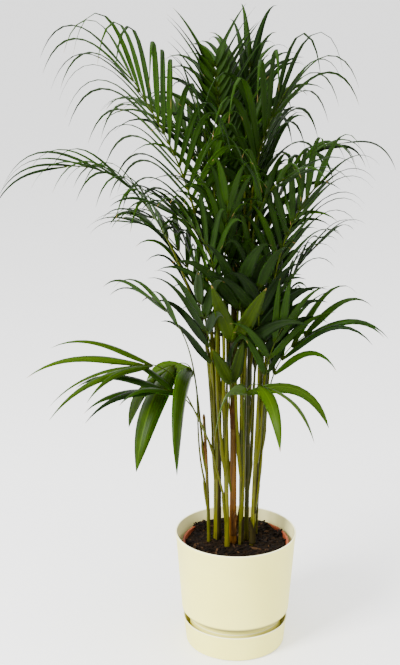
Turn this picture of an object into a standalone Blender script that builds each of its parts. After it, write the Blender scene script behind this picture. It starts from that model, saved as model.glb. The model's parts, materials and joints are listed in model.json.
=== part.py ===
"""Potted areca palm: a clump of canes and arching fronds in a nursery pot, inside a planter with a saucer.

Metres, +Z up. The origin is the centre of the saucer's underside. +X is the plant's right side and
-Y its front. Every cane, frond, pot and the soil is one closed solid of its own.
"""

import math
import random
from collections import namedtuple

import bmesh
import bpy
import numpy as np
from mathutils import Vector
from mathutils.bvhtree import BVHTree

# ---- Driving dimensions, in metres -------------------------------------------------------------
GAP = 0.0004                # clearance between two pieces that rest on each other

SAUCER_BASE_RADIUS = 0.1024
SAUCER_RIM_RADIUS = 0.1084
SAUCER_HEIGHT = 0.056
SAUCER_WALL = 0.0028
SAUCER_FLOOR = 0.0030
SAUCER_FILLET = 0.006
SAUCER_INNER_FILLET = 0.003

PLANTER_RIM_RADIUS = 0.1242
PLANTER_RIM_HEIGHT = 0.245
PLANTER_BASE_RADIUS = 0.1110
PLANTER_BASE_HEIGHT = 0.0790
PLANTER_NECK_RADIUS = 0.0945
PLANTER_NECK_HEIGHT = 0.0620
PLANTER_WALL = 0.0032
PLANTER_FLOOR_TOP = 0.0700
PLANTER_DRAIN_RADIUS = 0.010

NURSERY_RIM_RADIUS = 0.1090
NURSERY_RIM_TOP = 0.2240
NURSERY_BAND_HEIGHT = 0.0140
NURSERY_BAND_STEP = 0.0030
NURSERY_BASE_RADIUS = 0.0840
NURSERY_WALL = 0.0016
NURSERY_FLOOR = 0.0020
NURSERY_DRAIN_RADIUS = 0.012

SOIL_EDGE_HEIGHT = 0.2150
SOIL_CROWN_HEIGHT = 0.2190
SOIL_CROWN_RADIUS = 0.0760

TURN_STEPS = 48
CORNER_STEPS = 4            # facets of a rounded bottom edge
MERGE_DISTANCE = 0.00001
CANE_POINTS = 8
CANE_FLARE = 1.25           # how much wider a cane is where it meets the soil
CANE_FLARE_HEIGHT = 0.03

PETIOLE_RADIUS = 0.0012      # of a frond of no length, and what each metre of it adds
PETIOLE_RADIUS_PER_METRE = 0.0052
RACHIS_TIP_RADIUS = 0.0009
PETIOLE_RINGS = 5
BLADE_THICKNESS = 0.0011
STATIONS = ((0.25, 1.0), (0.625, 0.60))   # where a leaflet is shaped, and its share of full width there
DROOP_POWER = 2.2           # how much of a leaflet's bend is left to its outer end
BASE_HALF_SHARE = 0.42      # half of a leaflet's base along the rachis, as a share of its width
LEAFLET_STEPS = 8
LEVELLING = 5.5             # how far leaflets turn back to face the sky, for each unit of turn
LEVELLING_START = 0.5       # of their frond beyond this sine
CLEARANCE = 0.0012          # how far a leaflet stays from everything but its own rachis
ANGLE_JITTER = 4.0
LENGTH_JITTER = 0.06
JITTER_SEED = 11

# Other directions and lengths a leaflet tries when its place is taken: (swing, lift, share of its length)
LEAFLET_TRIES = (
    (0, 0, 1.0), (7, 0, 1.0), (-7, 0, 1.0), (0, 14, 1.0), (0, -14, 1.0), (13, 10, 0.95),
    (-13, 10, 0.95), (13, -12, 0.9), (-13, -12, 0.9), (0, 0, 0.8), (0, 24, 0.8), (0, -24, 0.75),
    (18, 0, 0.7), (-18, 0, 0.7), (0, 0, 0.6), (0, 30, 0.5), (0, 0, 0.42),
)

# ---- The canes: where each stands in the soil, where its top is, and its two diameters -----------
Cane = namedtuple("Cane", "foot_x foot_y top_x top_y top_z foot_diameter top_diameter")
CANES = {
    "cane_1": Cane(-0.055, 0.000, -0.066, 0.000, 0.50, 0.0075, 0.0060),
    "cane_2": Cane(-0.038, 0.009, -0.040, 0.004, 0.74, 0.0160, 0.0120),
    "cane_3": Cane(-0.018, -0.024, -0.030, -0.030, 0.62, 0.0100, 0.0080),
    "cane_4": Cane(-0.006, -0.006, -0.008, 0.004, 0.92, 0.0146, 0.0110),
    "cane_5": Cane(0.010, -0.015, 0.008, -0.016, 0.86, 0.0090, 0.0080),
    "cane_6": Cane(0.022, 0.004, 0.026, 0.006, 0.80, 0.0100, 0.0080),
    "cane_7": Cane(0.034, -0.013, 0.050, -0.014, 0.66, 0.0110, 0.0080),
    "cane_8": Cane(0.043, 0.030, 0.062, 0.040, 0.58, 0.0060, 0.0050),
}

# ---- The fronds ---------------------------------------------------------------------------------
# cane and height: the number of its cane, and where the petiole leaves it. heading: compass direction
# it leans in, degrees from +X towards +Y. rise and dip: slope of the rachis at its two ends, degrees
# above the horizon. reach and tip_height: how far out and how high the rachis ends. pairs: leaflet
# pairs. bare: share of the length without leaflets. length and width: of the longest leaflet.
# fan_low and fan_high: angle between leaflet and rachis at the first and the last pair. lift: how far
# the leaflets stand out of the frond's plane. droop: how much they hang. roll: how far the petiole
# twists the leafy part.
Frond = namedtuple(
    "Frond",
    "cane height heading rise reach tip_height dip pairs bare length width fan_low fan_high lift droop roll",
)
FRONDS = {
    "left_arch": Frond(2, 0.60, 187, 76, 0.300, 0.999, -12, 12, 0.50, 0.260, 0.013, 30, 16, 15, 2.3, 0),
    "left_broad": Frond(1, 0.36, 188, 77, 0.065, 0.604, -25, 2, 0.82, 0.320, 0.036, 88, 52, -16, 3.2, 0),
    "right_front": Frond(5, 0.34, 302, 84, 0.050, 0.582, 5, 2, 0.80, 0.250, 0.022, 52, 18, -20, 3.0, 0),
    "front_low": Frond(4, 0.60, 268, 87, 0.032, 0.680, 80, 3, 0.55, 0.180, 0.022, 30, 12, 0, 0.1, 0),
    "front_upright": Frond(3, 0.46, 300, 88, 0.020, 0.620, 86, 2, 0.75, 0.120, 0.016, 14, 6, 0, 0.1, 0),
    "mid_front": Frond(5, 0.54, 262, 88, 0.040, 0.780, 70, 6, 0.45, 0.200, 0.022, 48, 20, 5, 1.0, 0),
    "mid_front_left": Frond(2, 0.50, 235, 87, 0.050, 0.740, 65, 5, 0.45, 0.180, 0.020, 45, 20, 5, 1.0, 0),
    "mid_front_right": Frond(7, 0.50, 265, 87, 0.050, 0.780, 65, 6, 0.45, 0.190, 0.020, 45, 20, 5, 1.0, 0),
    "mid_broad": Frond(6, 0.52, 350, 88, 0.030, 0.700, 80, 3, 0.60, 0.180, 0.030, 26, 10, 0, 0.3, 0),
    "mid_broad_left": Frond(3, 0.44, 100, 88, 0.030, 0.660, 80, 3, 0.60, 0.170, 0.026, 26, 10, 0, 0.3, 0),
    "top_left": Frond(2, 0.66, 176, 87, 0.160, 1.175, 58, 15, 0.42, 0.330, 0.012, 50, 22, 10, 2.4, 45),
    "top_centre": Frond(4, 0.80, 200, 89, 0.033, 1.185, 84, 15, 0.35, 0.190, 0.014, 50, 32, 2, 0.4, 90),
    "top_right": Frond(5, 0.78, 8, 88, 0.095, 1.172, 52, 14, 0.40, 0.300, 0.012, 44, 16, 10, 2.4, -45),
    "right_fan": Frond(7, 0.56, -15, 87, 0.092, 0.965, 55, 10, 0.42, 0.235, 0.012, 42, 22, 10, 1.6, -45),
    "right_arch": Frond(6, 0.66, 8, 85, 0.167, 1.038, 8, 12, 0.50, 0.185, 0.015, 32, 14, 12, 3.0, 0),
    "left_low": Frond(2, 0.42, 214, 64, 0.184, 0.632, -5, 3, 0.86, 0.270, 0.014, 18, 8, 10, 0.9, -30),
    "left_front": Frond(3, 0.34, 205, 76, 0.160, 0.582, -5, 3, 0.80, 0.200, 0.016, 22, 8, 5, 1.1, -30),
    "left_small": Frond(1, 0.44, 171, 84, 0.100, 0.735, 35, 3, 0.76, 0.160, 0.020, 22, 10, 10, 1.5, 30),
    "right_low": Frond(7, 0.36, 5, 84, 0.086, 0.664, 35, 4, 0.70, 0.240, 0.014, 35, 12, 10, 1.5, 30),
    "right_mid": Frond(7, 0.46, -35, 86, 0.047, 0.692, 60, 4, 0.55, 0.190, 0.014, 35, 12, 10, 0.8, -30),
    "back_left": Frond(4, 0.60, 132, 86, 0.200, 1.080, 20, 13, 0.42, 0.240, 0.012, 38, 20, 15, 1.5, 0),
    "back_right": Frond(6, 0.58, 75, 86, 0.170, 1.080, 30, 13, 0.42, 0.240, 0.012, 40, 20, 15, 1.3, 0),
    "left_inner": Frond(2, 0.53, 163, 84, 0.125, 0.890, 20, 8, 0.50, 0.160, 0.013, 32, 15, 12, 1.8, 20),
    "left_back": Frond(2, 0.45, 140, 86, 0.190, 0.860, 0, 9, 0.40, 0.190, 0.012, 36, 18, 15, 1.3, 0),
    "mid_left": Frond(4, 0.40, 165, 87, 0.100, 0.900, 40, 10, 0.36, 0.190, 0.018, 38, 18, 15, 1.2, 20),
    "front_left": Frond(3, 0.45, 212, 81, 0.100, 0.920, 30, 10, 0.58, 0.210, 0.013, 34, 18, 15, 1.2, 0),
    "front_high": Frond(3, 0.57, 275, 88, 0.060, 0.960, 60, 12, 0.42, 0.200, 0.013, 36, 18, 12, 1.1, 0),
    "top_inner_left": Frond(3, 0.58, 160, 88, 0.052, 1.130, 70, 12, 0.40, 0.200, 0.012, 36, 20, 10, 1.4, 40),
    "back_centre": Frond(4, 0.68, 88, 87, 0.120, 1.150, 40, 13, 0.40, 0.250, 0.012, 42, 22, 15, 1.2, 0),
    "back_crown": Frond(5, 0.71, 78, 88, 0.050, 1.180, 70, 12, 0.40, 0.200, 0.012, 38, 18, 10, 1.0, 0),
    "front_right": Frond(5, 0.60, 312, 86, 0.120, 1.000, 20, 12, 0.45, 0.220, 0.013, 34, 18, 12, 1.3, 0),
    "front_mid": Frond(5, 0.44, 225, 82, 0.070, 0.940, 45, 10, 0.60, 0.210, 0.014, 34, 16, 10, 1.2, 0),
    "top_inner_right": Frond(6, 0.72, 110, 88, 0.030, 1.120, 80, 14, 0.35, 0.205, 0.013, 35, 18, 10, 1.0, 0),
    "mid_back": Frond(6, 0.40, 110, 87, 0.090, 0.870, 50, 10, 0.36, 0.190, 0.018, 42, 20, 15, 1.0, 0),
    "mid_right": Frond(6, 0.40, 35, 87, 0.110, 0.900, 45, 10, 0.36, 0.200, 0.018, 38, 18, 15, 1.1, -20),
    "right_back": Frond(8, 0.46, 30, 86, 0.112, 0.819, 35, 9, 0.50, 0.190, 0.014, 40, 15, 15, 1.3, -30),
    "back_low": Frond(8, 0.40, 80, 85, 0.150, 0.820, 10, 9, 0.38, 0.190, 0.014, 36, 18, 15, 1.2, 0),
}


# ---- Materials ----------------------------------------------------------------------------------
def make_material(name, color, roughness):
    material = bpy.data.materials.new(name)
    material.use_nodes = True
    shader = material.node_tree.nodes["Principled BSDF"]
    shader.inputs["Base Color"].default_value = (*color, 1.0)
    shader.inputs["Roughness"].default_value = roughness
    shader.inputs["Metallic"].default_value = 0.0
    return material


# ---- Meshes and objects -------------------------------------------------------------------------
def clear_scene():
    for obj in list(bpy.data.objects):
        bpy.data.objects.remove(obj, do_unlink=True)


def add_object(name, data, material, collection):
    obj = bpy.data.objects.new(name, data)
    obj.data.materials.append(material)
    collection.objects.link(obj)
    return obj


def turned(name, profile, closed, material, collection):
    """A profile of (radius, height) points, down its outer side, turned about Z into a solid.

    It is a closed loop clear of the axis, or an open line from the axis round the outside to the axis.
    """
    mesh = bpy.data.meshes.new(name)
    points = [(radius, 0.0, height) for radius, height in profile]
    edges = [(i, i + 1) for i in range(len(points) - 1)]
    if closed:
        edges.append((len(points) - 1, 0))
    mesh.from_pydata(points, edges, [])
    obj = add_object(name, mesh, material, collection)
    screw = obj.modifiers.new("turn", "SCREW")
    screw.axis = "Z"
    screw.steps = TURN_STEPS
    screw.render_steps = TURN_STEPS
    screw.use_merge_vertices = True
    screw.merge_threshold = MERGE_DISTANCE
    return obj


def arc(centre, radius, start, end, steps):
    """Points of an arc in the profile plane, angles in degrees from the +radius direction."""
    points = []
    for i in range(steps + 1):
        angle = math.radians(start + (end - start) * i / steps)
        points.append((centre[0] + radius * math.cos(angle), centre[1] + radius * math.sin(angle)))
    return points


# ---- Pots and soil ------------------------------------------------------------------------------
def make_saucer(material, collection):
    inner_base = SAUCER_BASE_RADIUS - SAUCER_WALL
    inner_rim = SAUCER_RIM_RADIUS - SAUCER_WALL
    corner = (SAUCER_BASE_RADIUS - SAUCER_FILLET, SAUCER_FILLET)
    profile = [(0.0, SAUCER_FLOOR), (inner_base - SAUCER_INNER_FILLET, SAUCER_FLOOR)]
    profile += [(inner_base, SAUCER_FLOOR + SAUCER_INNER_FILLET), (inner_rim, SAUCER_HEIGHT)]
    profile += [(SAUCER_RIM_RADIUS, SAUCER_HEIGHT)]
    profile += arc(corner, SAUCER_FILLET, 0, -90, CORNER_STEPS)
    profile += [(0.0, 0.0)]
    return turned("saucer", profile, False, material, collection)


def make_planter(material, collection):
    foot = SAUCER_FLOOR + GAP
    shoulder = 0.008
    wall_slope = (PLANTER_RIM_RADIUS - PLANTER_BASE_RADIUS) / (PLANTER_RIM_HEIGHT - PLANTER_BASE_HEIGHT)
    neck_inner = PLANTER_NECK_RADIUS - PLANTER_WALL
    floor_under = PLANTER_FLOOR_TOP - PLANTER_WALL
    inner_floor_radius = (
        PLANTER_BASE_RADIUS - PLANTER_WALL - wall_slope * (PLANTER_BASE_HEIGHT - PLANTER_FLOOR_TOP) - shoulder
    )
    corner_centre = (PLANTER_BASE_RADIUS - shoulder, PLANTER_BASE_HEIGHT)
    profile = [(PLANTER_RIM_RADIUS, PLANTER_RIM_HEIGHT)]
    profile += arc(corner_centre, shoulder, 0, -90, CORNER_STEPS)
    profile += [(PLANTER_NECK_RADIUS + 0.002, corner_centre[1] - shoulder)]
    profile += [(PLANTER_NECK_RADIUS, PLANTER_NECK_HEIGHT), (PLANTER_NECK_RADIUS, foot)]
    profile += [(neck_inner, foot), (neck_inner, floor_under), (PLANTER_DRAIN_RADIUS, floor_under)]
    profile += [(PLANTER_DRAIN_RADIUS, PLANTER_FLOOR_TOP), (inner_floor_radius, PLANTER_FLOOR_TOP)]
    inner_base = PLANTER_BASE_RADIUS - PLANTER_WALL
    profile += [(inner_base, PLANTER_BASE_HEIGHT + 0.004)]
    profile += [(PLANTER_RIM_RADIUS - PLANTER_WALL, PLANTER_RIM_HEIGHT)]
    return turned("outer_pot", profile, True, material, collection)


def nursery_radius(height):
    """Outer radius of the nursery pot's plain wall at a height."""
    base = PLANTER_FLOOR_TOP + GAP
    top_radius = NURSERY_RIM_RADIUS - NURSERY_BAND_STEP
    share = (height - base) / (NURSERY_RIM_TOP - base)
    return NURSERY_BASE_RADIUS + (top_radius - NURSERY_BASE_RADIUS) * share


def make_nursery_pot(material, collection):
    base = PLANTER_FLOOR_TOP + GAP
    floor_top = base + NURSERY_FLOOR
    band_foot = NURSERY_RIM_TOP - NURSERY_BAND_HEIGHT
    profile = [(NURSERY_RIM_RADIUS, NURSERY_RIM_TOP), (NURSERY_RIM_RADIUS - 0.0008, band_foot)]
    profile += [(nursery_radius(band_foot), band_foot), (NURSERY_BASE_RADIUS, base)]
    profile += [(NURSERY_DRAIN_RADIUS, base), (NURSERY_DRAIN_RADIUS, floor_top)]
    profile += [(nursery_radius(floor_top) - NURSERY_WALL, floor_top)]
    profile += [(nursery_radius(NURSERY_RIM_TOP) - NURSERY_WALL, NURSERY_RIM_TOP)]
    return turned("nursery_pot", profile, True, material, collection)


def make_soil(material, collection):
    base = PLANTER_FLOOR_TOP + 2 * GAP + NURSERY_FLOOR
    inset = NURSERY_WALL + GAP
    profile = [(0.0, SOIL_CROWN_HEIGHT), (SOIL_CROWN_RADIUS, SOIL_CROWN_HEIGHT)]
    profile += [(nursery_radius(SOIL_EDGE_HEIGHT) - inset, SOIL_EDGE_HEIGHT)]
    profile += [(nursery_radius(base) - inset, base), (0.0, base)]
    return turned("potting_soil", profile, False, material, collection)


# ---- Canes --------------------------------------------------------------------------------------
def cane_centre(cane, height):
    """The cane's centre line leans a little more the higher it is."""
    share = (height - SOIL_CROWN_HEIGHT) / (cane.top_z - SOIL_CROWN_HEIGHT)
    lean = 0.5 * share + 0.5 * share * share
    x = cane.foot_x + (cane.top_x - cane.foot_x) * lean
    y = cane.foot_y + (cane.top_y - cane.foot_y) * lean
    return Vector((x, y, height))


def cane_radius(cane, height):
    share = (height - SOIL_CROWN_HEIGHT) / (cane.top_z - SOIL_CROWN_HEIGHT)
    plain = (cane.foot_diameter + (cane.top_diameter - cane.foot_diameter) * share) / 2
    flare = max(0.0, 1 - (height - SOIL_CROWN_HEIGHT) / CANE_FLARE_HEIGHT)
    return plain * (1 + (CANE_FLARE - 1) * flare * flare)


def make_cane(name, cane, material, collection):
    foot = SOIL_CROWN_HEIGHT + GAP
    curve = bpy.data.curves.new(name, "CURVE")
    curve.dimensions = "3D"
    curve.bevel_depth = 1.0
    curve.bevel_resolution = 2
    curve.use_fill_caps = True
    spline = curve.splines.new("POLY")
    heights = [foot, foot + CANE_FLARE_HEIGHT / 2, foot + CANE_FLARE_HEIGHT]
    rest = CANE_POINTS - len(heights)
    heights += [heights[2] + (cane.top_z - heights[2]) * (i + 1) / rest for i in range(rest)]
    spline.points.add(len(heights) - 1)
    for point, height in zip(spline.points, heights):
        point.co = (*cane_centre(cane, height), 1.0)
        point.radius = cane_radius(cane, height)
    return add_object(name, curve, material, collection)


# ---- Fronds -------------------------------------------------------------------------------------
LEFT = 1
RIGHT = -1
LEAFY_SIDES = {0: LEFT, 2: RIGHT}    # the faces of the four-sided stalk that leaflets grow from
FAR_SIDE = 2                        # the broad side of a blade opposite its first


def unit(vector):
    return vector / np.linalg.norm(vector)


def direction(heading, slope):
    h = math.radians(heading)
    s = math.radians(slope)
    return np.array((math.cos(h) * math.cos(s), math.sin(h) * math.cos(s), math.sin(s)))


class Rachis:
    """The stalk of a frond: a Bezier arch with a side and an up direction along it."""

    SAMPLES = 96

    def __init__(self, frond):
        cane = CANES[f"cane_{frond.cane}"]
        outward = direction(frond.heading, 0)
        straight = math.hypot(frond.reach, frond.tip_height - frond.height)
        self.petiole_radius = PETIOLE_RADIUS + PETIOLE_RADIUS_PER_METRE * straight
        seat = cane_radius(cane, frond.height) + self.petiole_radius + GAP
        start = np.array(cane_centre(cane, frond.height)) + outward * seat
        end = start + outward * frond.reach
        end[2] = frond.tip_height
        span = np.linalg.norm(end - start)
        first = start + direction(frond.heading, frond.rise) * span * 0.5
        last = end - direction(frond.heading, frond.dip) * span * 0.33
        t = np.linspace(0, 1, self.SAMPLES)[:, None]
        self.points = (
            (1 - t) ** 3 * start + 3 * (1 - t) ** 2 * t * first + 3 * (1 - t) * t * t * last + t**3 * end
        )
        steps = np.linalg.norm(np.diff(self.points, axis=0), axis=1)
        self.length = steps.sum()
        self.share = np.concatenate(([0], np.cumsum(steps))) / self.length
        side = direction(frond.heading + 90, 0)
        self.tangents = np.array([unit(v) for v in np.gradient(self.points, axis=0)])
        ups = np.array([unit(np.cross(v, side)) for v in self.tangents])
        twist = np.clip(self.share / frond.bare, 0, 1)[:, None]
        roll = math.radians(frond.roll) * twist * twist * (3 - 2 * twist)
        self.sides = side * np.cos(roll) + ups * np.sin(roll)
        self.ups = ups * np.cos(roll) - side * np.sin(roll)

    def at(self, table, share):
        return np.array([np.interp(share, self.share, table[:, k]) for k in range(3)])

    def radius(self, share):
        return self.petiole_radius + (RACHIS_TIP_RADIUS - self.petiole_radius) * share**0.8

    def ring(self, share):
        """Four corners: upper left, lower left, lower right, upper right."""
        centre = self.at(self.points, share)
        side = self.at(self.sides, share) * self.radius(share)
        up = self.at(self.ups, share) * self.radius(share)
        return [centre + side + up, centre + side - up, centre - side - up, centre - side + up]


def leaflet_line(rachis, frond, place, hand, swing, lift, size):
    """Centre line of a leaflet: straight out of the rachis, then bending down under its weight."""
    share = frond.bare + (1 - frond.bare) * place
    tangent = rachis.at(rachis.tangents, share)
    side = rachis.at(rachis.sides, share) * hand
    up = rachis.at(rachis.ups, share)
    fan = math.radians(frond.fan_low + (frond.fan_high - frond.fan_low) * place + swing)
    rise = math.radians(frond.lift + lift)
    heading = tangent * math.cos(fan) + math.sin(fan) * (side * math.cos(rise) + up * math.sin(rise))
    fullness = 0.62 + 0.38 * math.sin(math.pi * (0.15 + 0.60 * place))
    length = frond.length * fullness * (1 - 0.20 * place) * size
    point = rachis.at(rachis.points, share) + side * rachis.radius(share)
    points = [point]
    for step in range(LEAFLET_STEPS):
        bend = frond.droop * ((step + 0.5) / LEAFLET_STEPS) ** DROOP_POWER
        point = point + unit(heading - np.array((0, 0, bend))) * length / LEAFLET_STEPS
        points.append(point)
    return np.array(points), tangent


def levelled(across, along, weight):
    """The blade's width direction, turned part of the way to the horizontal."""
    level = np.cross(along, (0.0, 0.0, 1.0))
    if np.dot(level, across) < 0:
        level = -level
    weight = min(1.0, weight)
    return unit(across * (1 - weight) + level * weight)


def blade_sections(points, tangent, width, thickness, hand, level):
    """Corners of the blade at each station, in the order of its base face's corners, and its tip."""
    steps = len(points) - 1
    sections = []
    across = tangent
    for share, wide in STATIONS:
        index = int(round(share * steps))
        along = unit(points[index + 1] - points[index - 1])
        across = unit(across - along * np.dot(across, along))
        facing = levelled(across, along, level * share)
        normal = np.cross(facing, along) * hand
        half = facing * width * wide / 2
        rise = normal * thickness / 2
        centre = points[index]
        corners = [centre - half + rise, centre + half + rise, centre + half - rise, centre - half - rise]
        if hand == RIGHT:
            corners.reverse()
        sections.append(corners)
    return sections, points[-1]


def blade_faces(rings, tip):
    """Triangles that join each ring of four corners to the next, and the last of them to the tip.

    Both broad sides are split along the same diagonal, so a twisted blade keeps its thickness.
    """
    faces = []
    for ring, following in zip(rings, rings[1:]):
        for i in range(4):
            j = (i + 1) % 4
            if i == FAR_SIDE:
                faces += [(ring[i], ring[j], following[i]), (ring[j], following[j], following[i])]
            else:
                faces += [(ring[i], ring[j], following[j]), (ring[i], following[j], following[i])]
    for i in range(4):
        faces.append((rings[-1][i], rings[-1][(i + 1) % 4], tip))
    return faces


def blade_hull(base, points, tangent, width, hand, level):
    """A slightly swollen blade as a small closed mesh, for finding what it would touch."""
    thickness = BLADE_THICKNESS + CLEARANCE
    sections, tip = blade_sections(points, tangent, width + CLEARANCE, thickness, hand, level)
    vertices = [*base]
    for corners in sections:
        vertices += corners
    vertices.append(tip + unit(points[-1] - points[-2]) * CLEARANCE)
    rings = [range(4 * k, 4 * k + 4) for k in range(len(sections) + 1)]
    return vertices, [(0, 1, 2, 3)] + blade_faces(rings, len(vertices) - 1)


class Crowd:
    """Every leaflet and stalk placed so far, to keep the next leaflet clear of them."""

    def __init__(self):
        self.trees = []
        self.lows = np.zeros((0, 3))
        self.highs = np.zeros((0, 3))
        self.owners = []

    def add(self, owner, vertices, faces):
        corners = np.array([tuple(v) for v in vertices])
        self.trees.append(BVHTree.FromPolygons([Vector(v) for v in corners], faces))
        self.lows = np.vstack((self.lows, corners.min(0)))
        self.highs = np.vstack((self.highs, corners.max(0)))
        self.owners.append(owner)

    def touches(self, owner, vertices, faces):
        corners = np.array([tuple(v) for v in vertices])
        near = np.all(self.lows <= corners.max(0), axis=1) & np.all(self.highs >= corners.min(0), axis=1)
        tree = BVHTree.FromPolygons([Vector(v) for v in corners], faces)
        for index in np.flatnonzero(near):
            if self.owners[index] != owner and self.trees[index].overlap(tree):
                return True
        return False


def leaflet_places(frond):
    return [i / (frond.pairs - 1) for i in range(frond.pairs)]


def ring_shares(frond, rachis):
    """Where the stalk's rings lie along it: a few on the petiole, then two at each pair of leaflets."""
    half = BASE_HALF_SHARE * frond.width / rachis.length
    shares = list(np.linspace(0, frond.bare - 2 * half, PETIOLE_RINGS))
    for place in leaflet_places(frond):
        share = frond.bare + (1 - frond.bare - half) * place
        shares += [share - half, min(1.0, share + half)]
    return shares


def add_rachis_to_crowd(name, frond, rachis, crowd):
    """The stalk is entered ring by ring, so that a leaflet is tested only against what is near."""
    shares = ring_shares(frond, rachis)
    for low, high in zip(shares, shares[1:]):
        vertices = rachis.ring(low) + rachis.ring(high)
        faces = [(i, (i + 1) % 4, 4 + (i + 1) % 4, 4 + i) for i in range(4)]
        crowd.add(name, vertices, faces)


def add_cane_to_crowd(cane, crowd):
    heights = np.linspace(SOIL_CROWN_HEIGHT, cane.top_z, 14)
    for low, high in zip(heights, heights[1:]):
        vertices = []
        for height in (low, high):
            centre = np.array(cane_centre(cane, height))
            for corner in range(6):
                out = direction(60 * corner, 0) * (cane_radius(cane, height) + GAP)
                vertices.append(centre + out)
        faces = [(i, (i + 1) % 6, 6 + (i + 1) % 6, 6 + i) for i in range(6)]
        crowd.add("canes", vertices, faces)


def place_leaflet(name, rachis, frond, place, hand, base, chance, crowd):
    """The first way of lying, from LEAFLET_TRIES, in which the leaflet touches nothing; or None."""
    swing = chance.uniform(-ANGLE_JITTER, ANGLE_JITTER)
    size = 1 + chance.uniform(-LENGTH_JITTER, LENGTH_JITTER)
    level = LEVELLING * max(0.0, abs(math.sin(math.radians(frond.roll))) - LEVELLING_START)
    for more_swing, lift, share in LEAFLET_TRIES:
        points, tangent = leaflet_line(rachis, frond, place, hand, swing + more_swing, lift, size * share)
        vertices, faces = blade_hull(base, points, tangent, frond.width, hand, level)
        if not crowd.touches(name, vertices, faces):
            crowd.add(f"{name}/{place:.3f}/{hand}", vertices, faces)
            return blade_sections(points, tangent, frond.width, BLADE_THICKNESS, hand, level)
    return None


def make_frond(name, frond, rachis, material, collection, crowd):
    """One closed surface: a four-sided stalk whose side faces are drawn out into leaflets."""
    chance = random.Random(f"{name}{JITTER_SEED}")
    mesh = bmesh.new()
    corners = [rachis.ring(share) for share in ring_shares(frond, rachis)]
    rings = [[mesh.verts.new(corner) for corner in ring] for ring in corners]
    mesh.faces.new(rings[0])
    mesh.faces.new(list(reversed(rings[-1])))
    leafy = {PETIOLE_RINGS + 2 * i: place for i, place in enumerate(leaflet_places(frond))}
    for index in range(len(rings) - 1):
        for side in range(4):
            after = (side + 1) % 4
            ring, following = rings[index], rings[index + 1]
            quad = [ring[side], following[side], following[after], ring[after]]
            hand = LEAFY_SIDES.get(side)
            blade = None
            if index in leafy and hand:
                base = [np.array(vert.co) for vert in quad]
                blade = place_leaflet(name, rachis, frond, leafy[index], hand, base, chance, crowd)
            if blade is None:
                mesh.faces.new(quad)
            else:
                draw_out_leaflet(mesh, quad, blade)
    data = bpy.data.meshes.new(name)
    mesh.to_mesh(data)
    mesh.free()
    return add_object(name, data, material, collection)


def draw_out_leaflet(mesh, quad, blade):
    """Joins the four corners of a side face to the blade's first section, and so on to its tip."""
    sections, tip_point = blade
    rings = [quad] + [[mesh.verts.new(point) for point in corners] for corners in sections]
    for face in blade_faces(rings, mesh.verts.new(tip_point)):
        mesh.faces.new(face)


# ---- The plant ----------------------------------------------------------------------------------
def main():
    clear_scene()
    collection = bpy.data.collections.new("potted_areca_palm")
    bpy.context.scene.collection.children.link(collection)
    cream = make_material("cream_plastic", (0.86, 0.82, 0.66), 0.45)
    terracotta = make_material("terracotta_plastic", (0.42, 0.12, 0.05), 0.55)
    soil = make_material("potting_soil", (0.035, 0.022, 0.014), 0.95)
    stem = make_material("cane_green", (0.28, 0.30, 0.06), 0.50)
    leaf = make_material("leaf_green", (0.05, 0.13, 0.02), 0.45)
    make_saucer(cream, collection)
    make_planter(cream, collection)
    make_nursery_pot(terracotta, collection)
    make_soil(soil, collection)
    crowd = Crowd()
    for name, cane in CANES.items():
        make_cane(name, cane, stem, collection)
        add_cane_to_crowd(cane, crowd)
    stalks = {name: Rachis(frond) for name, frond in FRONDS.items()}
    for name, rachis in stalks.items():
        add_rachis_to_crowd(f"frond_{name}", FRONDS[name], rachis, crowd)
    for name, frond in FRONDS.items():
        make_frond(f"frond_{name}", frond, stalks[name], leaf, collection, crowd)


main()
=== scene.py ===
"""Looks of the potted areca palm: pleated leaflets, sheathed canes, loose soil and matte plastic pots.

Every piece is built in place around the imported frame, in metres, +Z up, with -Y towards the camera.
"""

import json
import random
from collections import namedtuple
from itertools import product
from math import atan2, cos, degrees, hypot, pi, radians, sin, sqrt

import bmesh
import bpy
import numpy as np
from mathutils import Euler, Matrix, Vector, noise
from mathutils.bvhtree import BVHTree

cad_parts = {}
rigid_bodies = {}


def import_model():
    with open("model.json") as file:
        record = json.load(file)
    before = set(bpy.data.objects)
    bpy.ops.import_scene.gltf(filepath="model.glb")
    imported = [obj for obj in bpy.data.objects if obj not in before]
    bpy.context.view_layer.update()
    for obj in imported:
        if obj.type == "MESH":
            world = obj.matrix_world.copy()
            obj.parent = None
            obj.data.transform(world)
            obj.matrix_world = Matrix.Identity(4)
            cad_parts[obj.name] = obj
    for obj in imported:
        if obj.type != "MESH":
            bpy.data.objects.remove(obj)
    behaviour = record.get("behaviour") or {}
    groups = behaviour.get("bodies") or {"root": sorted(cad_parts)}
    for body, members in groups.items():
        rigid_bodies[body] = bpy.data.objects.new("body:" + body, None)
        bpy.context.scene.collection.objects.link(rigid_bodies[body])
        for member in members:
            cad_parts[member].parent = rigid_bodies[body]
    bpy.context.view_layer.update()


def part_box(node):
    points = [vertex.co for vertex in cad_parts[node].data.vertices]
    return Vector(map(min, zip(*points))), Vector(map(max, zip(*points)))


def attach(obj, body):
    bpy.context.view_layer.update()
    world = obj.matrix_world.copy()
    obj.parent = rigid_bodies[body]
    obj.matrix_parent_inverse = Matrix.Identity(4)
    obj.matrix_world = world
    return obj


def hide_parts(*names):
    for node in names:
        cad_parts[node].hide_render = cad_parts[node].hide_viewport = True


for leftover in list(bpy.data.objects):
    bpy.data.objects.remove(leftover)
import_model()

# ---- Driving values, in metres ----
GAP = 0.0004  # clearance between two pieces that rest on each other
TURN_STEPS = 160  # facets round a pot

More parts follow.
